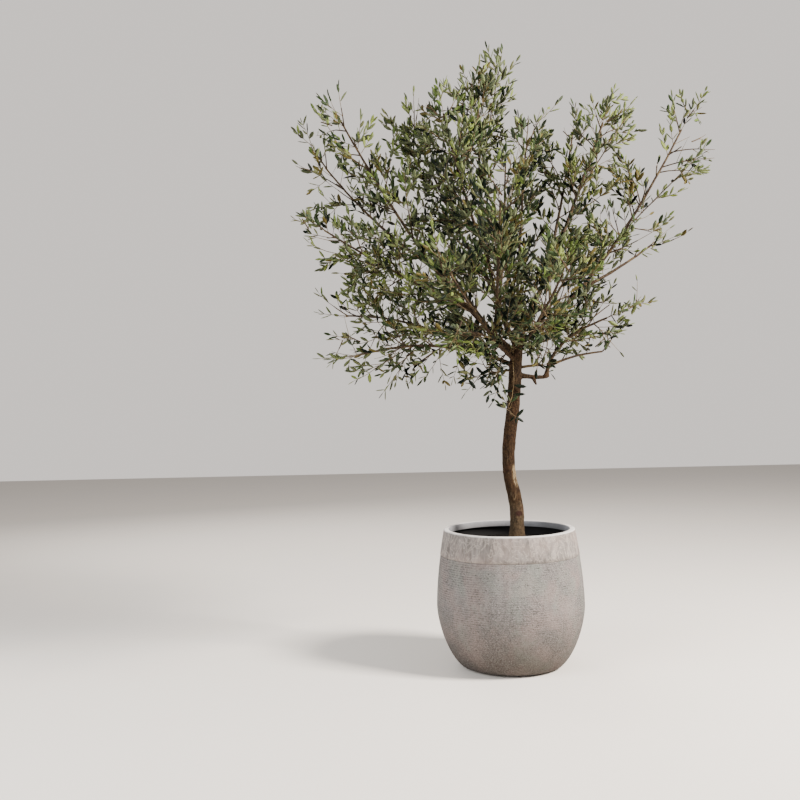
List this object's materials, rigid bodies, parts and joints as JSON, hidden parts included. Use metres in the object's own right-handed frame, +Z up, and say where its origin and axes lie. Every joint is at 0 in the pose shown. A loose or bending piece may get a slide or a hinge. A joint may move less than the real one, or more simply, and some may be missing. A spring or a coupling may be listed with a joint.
{
  "type": "potted olive tree",
  "caption": "Olive tree with a bare, winding trunk and an open crown of rising boughs, growing in an egg-shaped planter that stands on its flat underside.",
  "frame": {"origin": "centre of the flat underside of the pot, on the pot's axis", "axes": "+Z up the pot's axis, +X to the right and +Y away from the viewer, as the picture shows the tree"},
  "size_m": [1.4983, 1.0483, 2.295],
  "materials": {
    "pot": "matt mottled grey-beige fibre clay, smooth round the rim and finely ribbed below",
    "soil": "dark, crumbly potting soil",
    "bark": "rough grey-brown bark",
    "foliage": "leathery narrow leaves, dull green above and grey-green below"
  },
  "bodies": {
    "root": {"pot": "pot", "soil": "soil", "trunk": "bark", "bough_low_left": "bark", "bough_left_low": "bark", "bough_right_arm": "bark", "bough_pruned_stub": "bark", "bough_right_low": "bark", "bough_under_right": "bark", "bough_front_left": "bark", "bough_front_low_left": "bark", "bough_front_high": "bark", "bough_front_right": "bark", "bough_front_low_right": "bark", "bough_back_left": "bark", "bough_back_low_left": "bark", "bough_back_right": "bark", "bough_back_low_right": "bark", "bough_upper_left": "bark", "bough_left_middle": "bark", "bough_left_high": "bark", "bough_top": "bark", "bough_crown_left": "bark", "bough_crown_left_front": "bark", "bough_back_high": "bark", "bough_crown_front": "bark", "bough_far_right": "bark", "bough_right_middle": "bark", "bough_upper_right": "bark", "bough_crown_right": "bark", "foliage_low_left": "foliage", "foliage_left_low": "foliage", "foliage_right_low": "foliage", "foliage_under_right": "foliage", "foliage_under_left": "foliage", "foliage_under_centre": "foliage", "foliage_front_left": "foliage", "foliage_front_low_left": "foliage", "foliage_front_high": "foliage", "foliage_front_right": "foliage", "foliage_front_low_right": "foliage", "foliage_back_left": "foliage", "foliage_back_low_left": "foliage", "foliage_back_right": "foliage", "foliage_back_low_right": "foliage", "foliage_upper_left": "foliage", "foliage_left_middle": "foliage", "foliage_left_high": "foliage", "foliage_top": "foliage", "foliage_crown_left": "foliage", "foliage_crown_left_front": "foliage", "foliage_back_high": "foliage", "foliage_crown_front": "foliage", "foliage_far_right": "foliage", "foliage_right_middle": "foliage", "foliage_upper_right": "foliage", "foliage_crown_right": "foliage", "foliage_trunk_sprig": "foliage"}
  },
  "joints": []
}
